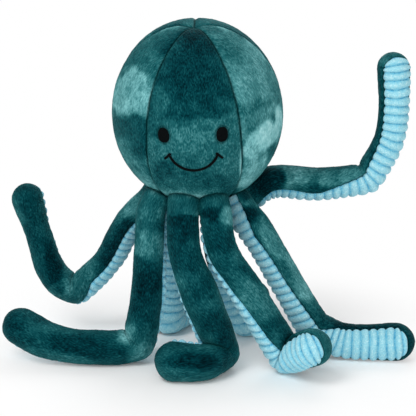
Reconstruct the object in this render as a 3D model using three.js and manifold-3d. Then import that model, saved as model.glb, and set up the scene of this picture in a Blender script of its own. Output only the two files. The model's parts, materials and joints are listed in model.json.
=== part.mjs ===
// Stuffed octopus: a head of five sewn gores over its filling, and eight stuffed tentacles.
// Each tentacle is a velour sleeve closed along its underside by a ribbed strip, round a filling.
// It stands on six tentacles and lifts two. Millimetres, +Z up, the face towards -Y.
import * as THREE from 'three';
import { mergeVertices } from 'three/addons/utils/BufferGeometryUtils.js';
import Module from 'manifold-3d';

const wasm = await Module();
wasm.setup();

// Driving dimensions
const headWidth = 138.6;
const headHeight = 152.6;
const headCentreHeight = 208.7;
const rootRadius = 13; // a tentacle's radius where it is sewn on
const reach = 200; // the length that the tentacles' routes are drawn to
const fabric = 1.6; // cloth with its pile
const fit = 0.3; // clearance between neighbouring pieces
const floorCut = 0.5; // depth of the flats that it stands on
const seamDip = 1.5; // how far a head seam draws in between the puffed gores
const apexDip = 2.5; // how far the gores' meeting point draws in
const apexGap = 0.8; // the gores end this far from that point
const baseRadius = 21; // the round patch that closes the head between the roots
const rootRingRadius = 31; // where the tentacles' roots touch the head
const eyeSpacing = 45.8;
const eyeWidth = 9.2;
const eyeTall = 12;
const eyeHeight = 9.9; // above the head's middle
const eyeRelief = 0.9; // embroidery's height over the velour
const smileRadius = 19.9;
const smileLow = 19.6; // the smile's lowest point below the head's middle
const smileThread = 0.75; // radius of the stitched line
const tickLength = 7.6;

// Angles, in degrees
const headLean = 13; // towards the face
const headTip = 1.4; // towards -X
const headTurn = 3; // the face turns towards -X
const apexSpread = 9; // how far from the meeting point the draw reaches
const smileSpread = 71; // half of the smile's arc
const tickSlant = 46;
const ribbedHalfAngle = 63; // half of the ribbed strip's share of a tentacle's section

// Mesh density
const ribbedColumns = 4;
const velourColumns = 6;
const sides = ribbedColumns + velourColumns;
const rootDomeSteps = 1;
const tipDomeSteps = 2;
const upperSpans = 5;
const lowerSpans = 4;
const headRows = 9;
const goreColumns = 4;
const threadSides = 4;
const smileSteps = 10;
const eyeSides = 16;

const rad = THREE.MathUtils.degToRad;
const vec = (x, y, z) => new THREE.Vector3(x, y, z);

const colours = {
  velour: new THREE.MeshStandardMaterial({ color: 0x146264, roughness: 0.85, metalness: 0 }),
  ribbed: new THREE.MeshStandardMaterial({ color: 0x86cfe2, roughness: 0.9, metalness: 0 }),
  filling: new THREE.MeshStandardMaterial({ color: 0xf2f0ea, roughness: 1, metalness: 0 }),
  thread: new THREE.MeshStandardMaterial({ color: 0x101214, roughness: 0.7, metalness: 0 }),
};

// Joining and cutting

function toSolid(geometry) {
  const bare = geometry.clone();
  bare.deleteAttribute('normal');
  bare.deleteAttribute('uv');
  const merged = mergeVertices(bare, fit / reach);
  return new wasm.Manifold(
    new wasm.Mesh({
      numProp: 3,
      vertProperties: new Float32Array(merged.attributes.position.array),
      triVerts: new Uint32Array(merged.index.array),
    }),
  );
}

function toGeometry(solid, origin) {
  const mesh = solid.getMesh();
  const geometry = new THREE.BufferGeometry();
  geometry.setAttribute('position', new THREE.BufferAttribute(new Float32Array(mesh.vertProperties), 3));
  geometry.setIndex(new THREE.BufferAttribute(new Uint32Array(mesh.triVerts), 1));
  geometry.translate(-origin.x, -origin.y, -origin.z);
  geometry.computeVertexNormals();
  return geometry;
}

function ownMesh(name, kind, geometry) {
  const mesh = new THREE.Mesh(geometry, colours[kind].clone());
  mesh.name = name;
  return mesh;
}

// A closed surface from rings of points, each end closed by a fan round its middle point
function skinRings(rings, startPoint, endPoint) {
  const count = rings[0].length;
  const positions = [startPoint, ...rings.flat(), endPoint].flatMap((point) => point.toArray());
  const last = rings.length * count + 1;
  const index = [];
  const at = (ring, k) => 1 + ring * count + (k % count);
  for (let k = 0; k < count; k += 1) {
    index.push(0, at(0, k + 1), at(0, k));
    index.push(last, at(rings.length - 1, k), at(rings.length - 1, k + 1));
    for (let ring = 0; ring + 1 < rings.length; ring += 1) {
      index.push(at(ring, k), at(ring, k + 1), at(ring + 1, k));
      index.push(at(ring, k + 1), at(ring + 1, k + 1), at(ring + 1, k));
    }
  }
  const geometry = new THREE.BufferGeometry();
  geometry.setAttribute('position', new THREE.Float32BufferAttribute(positions, 3));
  geometry.setIndex(index);
  return geometry;
}

// A shell over some cells of a grid, walled round their edge. nodeAt(row, column, inset) gives a
// point, has(row, column) says which cells are covered, and wraps joins the last column to the first.
function cellShell(rows, columns, wraps, nodeAt, has) {
  const across = wraps ? columns : columns + 1;
  const positions = [];
  for (const inset of [0, fabric]) {
    for (let row = 0; row <= rows; row += 1) {
      for (let column = 0; column < across; column += 1) {
        positions.push(...nodeAt(row, column, inset).toArray());
      }
    }
  }
  const at = (layer, row, column) => (layer * (rows + 1) + row) * across + (column % across);
  const covered = (row, column) => {
    if (row < 0 || row >= rows) return false;
    if (!wraps && (column < 0 || column >= columns)) return false;
    return has(row, (column + columns) % columns);
  };
  const index = [];
  const quad = (a, b, c, d) => index.push(a, b, c, a, c, d);
  // Walls that face each other across a gap are split along the same diagonal, so that they stay clear
  const wall = (a, b) => quad(at(0, ...a), at(1, ...a), at(1, ...b), at(0, ...b));
  const facingWall = (a, b) => quad(at(1, ...a), at(1, ...b), at(0, ...b), at(0, ...a));
  for (let row = 0; row < rows; row += 1) {
    for (let column = 0; column < columns; column += 1) {
      if (!covered(row, column)) continue;
      const [a, b, c, d] = [[row, column], [row + 1, column], [row + 1, column + 1], [row, column + 1]];
      quad(at(0, ...a), at(0, ...b), at(0, ...c), at(0, ...d));
      quad(at(1, ...a), at(1, ...d), at(1, ...c), at(1, ...b));
      if (!covered(row, column - 1)) wall(a, b);
      if (!covered(row + 1, column)) wall(b, c);
      if (!covered(row, column + 1)) facingWall(c, d);
      if (!covered(row - 1, column)) facingWall(d, a);
    }
  }
  const geometry = new THREE.BufferGeometry();
  geometry.setAttribute('position', new THREE.Float32BufferAttribute(positions, 3));
  geometry.setIndex(index);
  return geometry;
}

// The head: an ellipsoid in its own frame, drawn in along the seams

const headAxes = vec(headWidth / 2, headWidth / 2, headHeight / 2);
const headCentre = vec(0, 0, headCentreHeight);
const headTurned = new THREE.Euler(rad(headLean), -rad(headTip), -rad(headTurn), 'ZYX');
const seamAngles = [-33, 33, 96, 180, 264]; // round the head from the face, in degrees
const goreNames = ['front', 'right', 'back_right', 'back_left', 'left'];
const spreadShare = 0.2; // how much the face gore widens towards the base
const seamPower = 4; // how narrow the dip at a seam is
const tickInnerShare = 0.25; // a tick's share inside the smile's end
const eyeCrownShare = 0.9; // an eye's width at its top against its width at its edge

// Seam number n, at polar angle theta: the two beside the face spread towards the base
function seamAngle(n, theta) {
  const own = n % seamAngles.length;
  const angle = seamAngles[own] + (n > own ? 360 : 0);
  const spread = own < 2 ? Math.max(0, -Math.cos(theta)) * spreadShare : 0;
  return rad(angle + seamAngles[own] * spread);
}

// A point of the head's surface, share along the gore from seam to seam, drawn in by inset
function headPoint(gore, share, theta, inset) {
  const from = seamAngle(gore, theta);
  const to = seamAngle(gore + 1, theta);
  const phi = from + (to - from) * share;
  const across = Math.abs(2 * share - 1);
  const apexDraw = apexDip * Math.exp(-((theta / rad(apexSpread)) ** 2));
  const dip = seamDip * Math.sin(theta) * across ** seamPower + apexDraw;
  const unit = vec(Math.sin(theta) * Math.sin(phi), -Math.sin(theta) * Math.cos(phi), Math.cos(theta));
  const point = unit.clone().multiply(headAxes);
  const normal = unit.clone().divide(headAxes).normalize();
  return point.addScaledVector(normal, -inset - dip);
}

const baseTheta = Math.PI - Math.asin((2 * baseRadius) / headWidth);
const apexTheta = (2 * apexGap) / headWidth;
const lastTheta = baseTheta - fit / headHeight;
const rowTheta = (row) => apexTheta + ((lastTheta - apexTheta) * row) / headRows;

function goreGeometry(gore) {
  const nodeAt = (row, column, inset) => {
    const theta = rowTheta(row);
    const width = Math.sin(theta) * (headWidth / 2) * (seamAngle(gore + 1, theta) - seamAngle(gore, theta));
    const edge = Math.min(fit / 2 / width, 1 / goreColumns);
    return headPoint(gore, edge + ((1 - 2 * edge) * column) / goreColumns, theta, inset);
  };
  const geometry = cellShell(headRows, goreColumns, false, nodeAt, () => true);
  geometry.computeVertexNormals();
  return geometry;
}

function headRing(theta, inset) {
  const ring = [];
  for (let gore = 0; gore < goreNames.length; gore += 1) {
    for (let column = 0; column < goreColumns; column += 1) {
      ring.push(headPoint(gore, column / goreColumns, theta, inset));
    }
  }
  return ring;
}

function headFillingGeometry() {
  const inset = fabric + fit;
  const rings = [];
  for (let row = 0; row <= headRows; row += 1) {
    rings.push(headRing(rowTheta(row), inset));
  }
  const top = headPoint(0, 1 / 2, 0, inset);
  const bottom = headPoint(0, 1 / 2, Math.PI, inset);
  return skinRings(rings.reverse(), bottom, top);
}

function basePatchGeometry() {
  const outer = headRing(baseTheta, 0);
  const inner = headRing(baseTheta, fabric);
  const outerPole = headPoint(0, 1 / 2, Math.PI, 0);
  const innerPole = headPoint(0, 1 / 2, Math.PI, fabric);
  return skinRings([outer, inner], outerPole, innerPole);
}

// Embroidery lies on the front gore: it is cut by that gore moved out by the clearance
const frontGore = goreGeometry(0);

function surfaceDepth(x, z) {
  const inside = 1 - (x / headAxes.x) ** 2 - (z / headAxes.z) ** 2;
  return headAxes.y * Math.sqrt(inside);
}

function eyeGeometry(side) {
  const x = (side * eyeSpacing) / 2;
  const ring = (depth, scale) => {
    const points = [];
    for (let k = 0; k < eyeSides; k += 1) {
      const turn = (2 * Math.PI * k) / eyeSides;
      const px = x + (scale * Math.cos(turn) * eyeWidth) / 2;
      const pz = eyeHeight + (scale * Math.sin(turn) * eyeTall) / 2;
      points.push(vec(px, -surfaceDepth(px, pz) - depth, pz));
    }
    return points;
  };
  const middle = (depth) => vec(x, -surfaceDepth(x, eyeHeight) - depth, eyeHeight);
  const rings = [ring(-fabric / 2, 1), ring(eyeRelief / 2, 1), ring(eyeRelief, eyeCrownShare)];
  return skinRings(rings, middle(-fabric / 2), middle(eyeRelief));
}

function onFace(x, z) {
  return vec(x, -surfaceDepth(x, z), z);
}

function threadGeometry(points, steps) {
  const section = new THREE.Shape();
  for (let k = 0; k < threadSides; k += 1) {
    const turn = (2 * Math.PI * k) / threadSides;
    const x = smileThread * Math.cos(turn);
    const y = smileThread * Math.sin(turn);
    if (k === 0) section.moveTo(x, y);
    else section.lineTo(x, y);
  }
  const path = new THREE.CatmullRomCurve3(points);
  return new THREE.ExtrudeGeometry(section, { steps, bevelEnabled: false, extrudePath: path });
}

function smileSolid() {
  const centre = smileRadius - smileLow;
  const arc = [];
  for (let k = 0; k <= smileSteps; k += 1) {
    const turn = rad(smileSpread) * ((2 * k) / smileSteps - 1);
    arc.push(onFace(smileRadius * Math.sin(turn), centre - smileRadius * Math.cos(turn)));
  }
  let solid = toSolid(threadGeometry(arc, smileSteps));
  const endX = smileRadius * Math.sin(rad(smileSpread));
  const endZ = centre - smileRadius * Math.cos(rad(smileSpread));
  for (const side of [-1, 1]) {
    const tick = [-tickInnerShare, 0, 1 - tickInnerShare].map((share) => {
      const along = share * tickLength;
      const x = endX + along * Math.cos(rad(tickSlant));
      return onFace(side * x, endZ - along * Math.sin(rad(tickSlant)));
    });
    solid = solid.add(toSolid(threadGeometry(tick, 2)));
  }
  return solid;
}

function buildHead() {
  const head = new THREE.Group();
  head.position.copy(headCentre);
  head.rotation.copy(headTurned);
  const here = vec(0, 0, 0);
  head.add(ownMesh('head_filling', 'filling', headFillingGeometry()));
  head.add(ownMesh('head_base_patch', 'velour', basePatchGeometry()));
  goreNames.forEach((name, gore) => {
    head.add(ownMesh(`head_gore_${name}`, 'velour', goreGeometry(gore)));
  });
  const seat = toSolid(frontGore.clone().translate(0, -fit, 0));
  for (const [name, side] of [['left_eye', -1], ['right_eye', 1]]) {
    head.add(ownMesh(name, 'thread', toGeometry(toSolid(eyeGeometry(side)).subtract(seat), here)));
  }
  head.add(ownMesh('smile', 'thread', toGeometry(smileSolid().subtract(seat), here)));
  return head;
}

// The tentacles

// A root is a ball that lies on the head's cloth, clear of it by the fit. This finds the ball's
// middle, which is the root's pivot, and the direction from there to the cloth.
function findRoot(head, azimuth) {
  const slope = Math.asin((2 * rootRingRadius) / headWidth);
  const flat = Math.sin(slope);
  const out = vec(flat * Math.cos(azimuth), flat * Math.sin(azimuth), -Math.cos(slope));
  const start = headCentre.clone().addScaledVector(out, headHeight);
  const [touch] = new THREE.Raycaster(start, out.negate()).intersectObject(head);
  const normal = touch.face.normal.clone().transformDirection(touch.object.matrixWorld);
  const pivot = touch.point.clone().addScaledVector(normal, rootRadius + fit);
  return { pivot, pole: normal.negate() };
}

// Each route runs from the root. A place has four shares: across X and Y from the root, in
// reaches, then of the root's height over the floor, then of the root's radius.
// bellies are the ribbed strip's directions at the root, the bend and the tip.
// The bend is the place with the number given, and curl is how far it closes and opens.
const tentacles = [
  {
    name: 'left_rear',
    azimuth: 157.5,
    bend: 3,
    lift: [-20, 20],
    curl: [-10, 70],
    routeShares: [
      [0, 0, 1, 1],
      [-0.107, 0.063, 0.804, 0.95],
      [-0.206, 0.14, 0.505, 0.95],
      [-0.356, 0.19, 0.249, 0.96],
      [-0.459, 0.205, 0.41, 0.93],
      [-0.509, 0.205, 0.668, 0.92],
      [-0.547, 0.198, 0.92, 1.01],
    ],
    bellies: [[0.75, -0.5, -0.45], [0.62, 0.2, -0.72], [0.25, 0.95, 0.1]],
  },
  {
    name: 'left_front',
    azimuth: -157.5,
    bend: 3,
    lift: [-8, 60],
    curl: [-15, 60],
    routeShares: [
      [0, 0, 1, 1],
      [-0.012, -0.01, 0.709, 0.97],
      [-0.024, -0.008, 0.368, 1.07],
      [-0.065, 0.01, 0.018, 1.1],
      [-0.173, -0.005, 0, 1.11],
      [-0.314, -0.005, 0, 1.13],
      [-0.456, 0.02, 0.041, 1.19],
      [-0.557, 0.06, 0.104, 1.21],
    ],
    bellies: [[0.3, 1, 0], [0.35, 0.9, -0.3], [0, 0.75, -0.75]],
  },
  {
    name: 'front_left',
    azimuth: -109,
    bend: 3,
    lift: [0, 60],
    curl: [-10, 90],
    routeShares: [
      [0, 0, 1, 1],
      [0.014, -0.035, 0.736, 1.01],
      [0.074, -0.045, 0.449, 1.22],
      [0.165, 0.03, 0, 1.11],
      [0.075, -0.088, 0, 1.17],
      [-0.029, -0.09, 0, 1.27],
    ],
    bellies: [[0, 1, 0], [-0.3, 0.9, 0], [-0.35, 0.9, 0.25]],
  },
  {
    name: 'front_right',
    azimuth: -66,
    bend: 3,
    lift: [0, 60],
    curl: [-10, 90],
    routeShares: [
      [0, 0, 1, 1],
      [0.018, -0.035, 0.792, 0.97],
      [0.141, -0.045, 0.446, 1.06],
      [0.289, -0.01, 0, 1.11],
      [0.397, -0.144, 0.094, 1.26],
    ],
    bellies: [[-0.3, 0.95, 0], [-0.75, -0.1, -0.65], [-0.35, -0.9, -0.1]],
  },
  {
    name: 'right_front',
    azimuth: -22.5,
    bend: 3,
    lift: [-8, 50],
    curl: [-15, 35],
    routeShares: [
      [0, 0, 1, 1],
      [0.089, -0.004, 0.798, 1.03],
      [0.199, 0.021, 0.454, 1],
      [0.311, 0.05, 0.114, 1.09],
      [0.417, 0.055, 0.018, 1.11],
      [0.533, 0.046, 0, 1.15],
      [0.655, 0.037, 0, 1.2],
    ],
    bellies: [[-0.95, 0, -0.3], [-0.35, -0.72, -0.6], [0, -0.98, -0.17]],
  },
  {
    name: 'right_rear',
    azimuth: 22.5,
    bend: 3,
    lift: [-60, 5],
    curl: [-15, 50],
    routeShares: [
      [0, 0, 1, 1],
      [0.112, 0.032, 1.11, 1.02],
      [0.313, 0.062, 1.078, 1.03],
      [0.506, 0.082, 1.138, 0.95],
      [0.599, 0.082, 1.399, 0.96],
      [0.621, 0.082, 1.648, 0.98],
      [0.616, 0.082, 1.897, 1.04],
    ],
    bellies: [[0, -0.1, -0.99], [0.4, -0.72, -0.57], [0.3, -0.95, 0]],
  },
  {
    name: 'rear_left',
    azimuth: 112.5,
    bend: 2,
    lift: [-8, 60],
    curl: [-15, 70],
    routeShares: [
      [0, 0, 1, 1],
      [-0.027, 0.045, 0.496, 1.01],
      [-0.049, 0.09, 0, 1.09],
      [0.018, 0.22, 0, 1.11],
      [0.048, 0.36, 0, 1.16],
    ],
    bellies: [[0.1, -1, 0], [0.5, -0.75, -0.45], [0.5, 0, -0.85]],
  },
  {
    name: 'rear_right',
    azimuth: 67.5,
    bend: 2,
    lift: [-8, 60],
    curl: [-15, 70],
    routeShares: [
      [0, 0, 1, 1],
      [0.027, 0.039, 0.488, 1.01],
      [0.134, 0.069, 0, 1.1],
      [0.16, 0.239, 0, 1.11],
      [0.173, 0.389, 0, 1.16],
    ],
    bellies: [[0.1, -1, 0], [0, -0.8, -0.6], [0, 0, -1]],
  },
];

// A route's places as points with a radius. A height share of nothing lies on the floor.
function layRoute(tentacle, pivot) {
  return tentacle.routeShares.map(([across, along, height, girth]) => {
    const radius = rootRadius * girth;
    const lowest = radius - floorCut;
    const z = lowest + (pivot.z - lowest) * height;
    return { point: vec(pivot.x + across * reach, pivot.y + along * reach, z), radius };
  });
}

// Even stations along the places, each with its direction, underside, side and radius
function makeStations(places, bellies, count) {
  const curve = new THREE.CatmullRomCurve3(places.map((place) => place.point), false, 'centripetal');
  const stations = [];
  for (let k = 0; k <= count; k += 1) {
    const share = k / count;
    const centre = curve.getPoint(share);
    const ahead = curve.getTangent(share);
    const span = share * (places.length - 1);
    const low = Math.min(Math.floor(span), places.length - 2);
    const between = span - low;
    const radius = places[low].radius * (1 - between) + places[low + 1].radius * between;
    const belly = vec(...bellies[0]).lerp(vec(...bellies[1]), share);
    belly.addScaledVector(ahead, -belly.dot(ahead)).normalize();
    const side = ahead.clone().cross(belly);
    stations.push({ centre, ahead, belly, side, radius });
  }
  return stations;
}

// A half's rows, from the start dome's pole to the last station, or on to the tip dome's pole.
// A dome's row lies a share of the way from the station's ring to the pole.
function limbRows(stations, startPole, hasTip) {
  const first = stations[0];
  const last = stations[stations.length - 1];
  const rows = [];
  const addRow = (station, pole, share, shift) => rows.push({ station, pole, share, shift });
  const startSteps = rootDomeSteps + 1;
  for (let k = startSteps; k > 0; k -= 1) addRow(first, startPole, k / startSteps, 0);
  addRow(first, first.ahead, 0, -fit);
  const stripStart = rows.length;
  for (const station of stations) addRow(station, station.ahead, 0, 0);
  const tipSteps = tipDomeSteps + 1;
  if (hasTip) addRow(last, last.ahead, 1 / tipSteps, 0);
  const stripEnd = rows.length - 1;
  if (hasTip) {
    addRow(last, last.ahead, 1 / tipSteps, fit);
    for (let k = 2; k <= tipSteps; k += 1) addRow(last, last.ahead, k / tipSteps, 0);
  }
  return { rows, stripStart, stripEnd, hasTip };
}

// Columns run round from the ribbed strip's edge: its own, a gap, the velour's and a gap
const limbColumns = sides + 2;

function limbPoint(limb, row, column, inset) {
  const { station, pole, share, shift } = limb.rows[row];
  const gap = fit / station.radius;
  const half = rad(ribbedHalfAngle);
  let turn = -half + (2 * half * column) / ribbedColumns;
  if (column > ribbedColumns) {
    const across = (column - ribbedColumns - 1) / velourColumns;
    turn = half + gap + (2 * Math.PI - 2 * half - 2 * gap) * across;
  }
  const out = station.belly.clone().multiplyScalar(Math.cos(turn));
  out.addScaledVector(station.side, -Math.sin(turn));
  const arc = out.angleTo(pole);
  const risen = out.multiplyScalar(Math.sin(arc * (1 - share)) / Math.sin(arc));
  risen.addScaledVector(pole, Math.sin(arc * share) / Math.sin(arc));
  const point = station.centre.clone().addScaledVector(risen, station.radius - inset);
  return point.addScaledVector(station.ahead, shift);
}

// The ribbed strip lies over the stations' rows, and the velour takes the rest
function skinGeometries(limb) {
  const { rows, stripStart, stripEnd } = limb;
  const inStrip = (row) => row >= stripStart && row < stripEnd;
  const besideStrip = (row) => row >= stripStart - 1 && row <= stripEnd;
  const isVelour = (column) => column > ribbedColumns && column < limbColumns - 1;
  const nodeAt = (row, column, inset) => limbPoint(limb, row, column, inset);
  const cover = (has) => cellShell(rows.length - 1, limbColumns, true, nodeAt, has);
  return {
    velour: cover((row, column) => !besideStrip(row) || isVelour(column)),
    ribbed: cover((row, column) => inStrip(row) && column < ribbedColumns),
  };
}

function fillingGeometry(limb, inset) {
  const { rows, hasTip } = limb;
  const rings = [];
  const end = hasTip ? rows.length - 1 : rows.length;
  for (let row = 1; row < end; row += 1) {
    const ring = [];
    for (let column = limbColumns - 1; column >= 0; column -= 1) {
      ring.push(limbPoint(limb, row, column, inset));
    }
    rings.push(ring);
  }
  const last = rows.length - 1;
  const endPoint = hasTip ? limbPoint(limb, last, 0, inset) : rows[last].station.centre.clone();
  return skinRings(rings, limbPoint(limb, 0, 0, inset), endPoint);
}

function ballSolid(centre, radius) {
  const ball = new THREE.SphereGeometry(radius, sides, sides / 2);
  ball.translate(centre.x, centre.y, centre.z);
  return toSolid(ball);
}

// A bend's geometry: its hinge line, and how the lower half lies when it is bent tightest
function makeBend(tentacle, upper, lower) {
  const back = upper[upper.length - 1].ahead.clone().negate();
  const ahead = lower[0].ahead.clone();
  const hinge = back.clone().cross(ahead).normalize();
  const open = back.angleTo(ahead);
  const along = back.clone().applyAxisAngle(hinge, open + rad(tentacle.curl[0]));
  const girth = Math.max(...lower.map((station) => station.radius));
  return { centre: lower[0].centre, radius: lower[0].radius, hinge, open, back, along, girth };
}

// What the lower half sweeps: its ball, and the space beside it when it is bent tightest
function sweptSolid(bend) {
  const roundness = Math.cos(Math.PI / sides) ** 2;
  const ball = ballSolid(bend.centre, (bend.radius + fit) / roundness);
  const away = bend.along.clone().cross(bend.hinge).normalize();
  const deep = 3 * bend.girth;
  const box = new THREE.BoxGeometry(reach, deep, 2 * deep);
  box.applyMatrix4(new THREE.Matrix4().makeBasis(bend.along, away, bend.along.clone().cross(away)));
  const middle = bend.centre.clone().addScaledVector(bend.along, reach / 2);
  middle.addScaledVector(away, bend.girth + fit - deep / 2);
  box.translate(middle.x, middle.y, middle.z);
  return ball.add(toSolid(box));
}

function standOnFloor(solid, inset) {
  return solid.trimByPlane([0, 0, 1], inset);
}

const joints = [];

function buildTentacle(head, tentacle) {
  const root = findRoot(head, rad(tentacle.azimuth));
  const places = layRoute(tentacle, root.pivot);
  const [rootBelly, bendBelly, tipBelly] = tentacle.bellies;
  const upperPlaces = places.slice(0, tentacle.bend + 1);
  const lowerPlaces = places.slice(tentacle.bend);
  const upper = makeStations(upperPlaces, [rootBelly, bendBelly], upperSpans);
  const lower = makeStations(lowerPlaces, [bendBelly, tipBelly], lowerSpans);
  const bend = makeBend(tentacle, upper, lower);
  const swept = sweptSolid(bend);
  const core = fabric + fit;
  const upperLimb = limbRows(upper, root.pole, false);
  const lowerLimb = limbRows(lower, lower[0].ahead.clone().negate(), true);
  const upperSkin = skinGeometries(upperLimb);
  const lowerSkin = skinGeometries(lowerLimb);
  const halves = [
    {
      half: 'upper',
      origin: root.pivot,
      velour: toSolid(upperSkin.velour).subtract(swept),
      ribbed: toSolid(upperSkin.ribbed).subtract(swept),
      filling: standOnFloor(toSolid(fillingGeometry(upperLimb, core)).subtract(swept), core),
    },
    {
      half: 'lower',
      origin: bend.centre,
      velour: standOnFloor(toSolid(lowerSkin.velour), 0),
      ribbed: standOnFloor(toSolid(lowerSkin.ribbed), 0),
      filling: standOnFloor(toSolid(fillingGeometry(lowerLimb, core)), core),
    },
  ];
  joints.push({ tentacle, root: root.pivot, bend, azimuth: rad(tentacle.azimuth) });

  const groups = halves.map(({ half, origin, velour, ribbed, filling }) => {
    const group = new THREE.Group();
    for (const [kind, solid] of Object.entries({ velour, ribbed, filling })) {
      const name = `tentacle_${tentacle.name}_${half}_${kind}`;
      group.add(ownMesh(name, kind, toGeometry(solid, origin)));
    }
    return group;
  });
  groups[0].position.copy(halves[0].origin);
  groups[1].position.copy(halves[1].origin).sub(halves[0].origin);
  groups[0].add(groups[1]);
  return groups[0];
}

const group = new THREE.Group();
const head = buildHead();
head.updateMatrixWorld(true);
group.add(head);
for (const tentacle of tentacles) {
  group.add(buildTentacle(head, tentacle));
}

// The origin is under the middle of the whole part, on the floor
group.updateMatrixWorld(true);
const box = new THREE.Box3().setFromObject(group, true);
const middle = box.getCenter(vec(0, 0, 0));
group.position.set(-middle.x, -middle.y, -box.min.z);

for (const { tentacle, root, bend, azimuth } of joints) {
  const at = (point) => point.clone().add(group.position).toArray().map((v) => v.toFixed(2));
  const bendAt = at(bend.centre).join(', ');
  const hinge = bend.hinge.toArray().map((v) => v.toFixed(4)).join(', ');
  const open = THREE.MathUtils.radToDeg(bend.open).toFixed(1);
  console.log(`tentacle ${tentacle.name}: root ${at(root).join(', ')}, bend ${bendAt}`);
  console.log(`  hinge line ${hinge}, bent to ${open} degrees`);
  const across = [Math.sin(azimuth), -Math.cos(azimuth), 0].map((v) => v.toFixed(4)).join(', ');
  console.log(`  lift line ${across}, lift ${tentacle.lift}, curl ${tentacle.curl}`);
}

export default group;
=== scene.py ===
# A stuffed octopus: velour head and tentacles with ribbed undersides. Metres, +Z up, face towards -Y.
import math
import bpy
import numpy as np
from mathutils import Matrix, Vector
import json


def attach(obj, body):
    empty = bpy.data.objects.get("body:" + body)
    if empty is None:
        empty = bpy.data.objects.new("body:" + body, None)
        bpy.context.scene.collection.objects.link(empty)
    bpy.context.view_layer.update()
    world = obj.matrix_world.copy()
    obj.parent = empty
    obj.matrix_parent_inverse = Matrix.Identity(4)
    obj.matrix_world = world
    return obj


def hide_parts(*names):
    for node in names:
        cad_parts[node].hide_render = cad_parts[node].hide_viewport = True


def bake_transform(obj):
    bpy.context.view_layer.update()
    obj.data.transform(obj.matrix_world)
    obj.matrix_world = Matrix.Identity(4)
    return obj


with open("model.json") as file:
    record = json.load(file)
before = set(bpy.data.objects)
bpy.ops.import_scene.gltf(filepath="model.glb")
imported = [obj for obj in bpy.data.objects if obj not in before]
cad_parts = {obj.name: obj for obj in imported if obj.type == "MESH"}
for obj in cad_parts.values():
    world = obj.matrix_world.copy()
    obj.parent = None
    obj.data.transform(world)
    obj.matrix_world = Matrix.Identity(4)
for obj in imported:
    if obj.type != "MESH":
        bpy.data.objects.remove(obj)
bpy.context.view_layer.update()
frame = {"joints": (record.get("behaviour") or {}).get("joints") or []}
joints = {joint["name"]: joint for joint in frame["joints"]}
mm = 0.001


view = {
    "target": (-0.4 * mm, -23.4 * mm, 128.2 * mm),
    "distance": 1.3,
    "elevation": 15.0,
    "picture": 416,  # the photograph's side in pixels
    "scale": 0.82 * mm,  # one pixel at the target
    "sensor": 36.0,
    "clip": (0.05, 20),
}


def viewAxes():  # the ways up and back in the picture
    tilt = math.radians(view["elevation"])
    return np.array([0, math.sin(tilt), math.cos(tilt)]), np.array([0, -math.cos(tilt), math.sin(tilt)])


def addObject(name, data):
    thing = bpy.data.objects.new(name, data)
    bpy.context.scene.collection.objects.link(thing)
    return thing


def addCamera():
    back = Vector(viewAxes()[1])
    data = bpy.data.cameras.new("camera")
    data.sensor_width = view["sensor"]
    data.lens = view["sensor"] * view["distance"] / (view["picture"] * view["scale"])
    data.clip_start, data.clip_end = view["clip"]
    camera = addObject("camera", data)
    camera.location = Vector(view["target"]) + back * view["distance"]
    camera.rotation_mode = "QUATERNION"
    camera.rotation_quaternion = (-back).to_track_quat("-Z", "Y")
    bpy.context.scene.camera = camera


def inPicture(points):  # where points stand in the photograph, in its pixels
    up, back = viewAxes()
    away = points - np.array(view["target"])
    size = view["distance"] / (view["distance"] - away @ back) / view["scale"]
    middle = view["picture"] / 2
    return np.stack([middle + away[..., 0] * size, middle - (away @ up) * size], -1), back


def smooth(low, high, value):
    share = np.clip((value - low) / (high - low), 0, 1)
    return share * share * (3 - 2 * share)


def unit(vectors):
    return vectors / np.maximum(np.linalg.norm(vectors, axis=-1, keepdims=True), 1e-12)


def bell(distance, width):  # 1 at no distance, fading over a width
    return np.exp(-((distance / width) ** 2))


def fullTurn(steps):
    return np.linspace(0, 2 * math.pi, steps + 1)


def lengthAlong(points):
    return np.concatenate([[0], np.cumsum(np.linalg.norm(np.diff(points, axis=0), axis=1))])


def between(x, at, rows):  # rows of numbers that are known at some places, read at others
    return np.stack([np.interp(x, at, rows[:, k]) for k in range(rows.shape[1])], -1)


def cloud(points, size, seed):  # soft noise from -1 to 1 with lumps of a size
    table = np.random.default_rng(seed).uniform(-1, 1, (17, 17, 17))
    place = np.asarray(points) / size + seed * 0.37
    cell = np.floor(place).astype(int)
    share = smooth(0, 1, place - cell)
    total = np.zeros(place.shape[:-1])
    for corner in np.ndindex(2, 2, 2):
        x, y, z = np.moveaxis(cell + corner, -1, 0) % 17
        total += np.where(corner, share, 1 - share).prod(-1) * table[x, y, z]
    return total


pileDents = ((2.6 * mm, 0.16 * mm), (1.3 * mm, 0.1 * mm))  # sizes and depths


def crushed(points, dents, seed):
    return sum(depth * cloud(points, size, seed + n) for n, (size, depth) in enumerate(dents))


def gridNormals(points, way):  # the ways out of a cloth, on the side that faces a given way
    normals = unit(np.cross(np.gradient(points, axis=1), np.gradient(points, axis=0)))
    return normals if np.mean(np.sum(normals * way, -1)) > 0 else -normals


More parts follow.
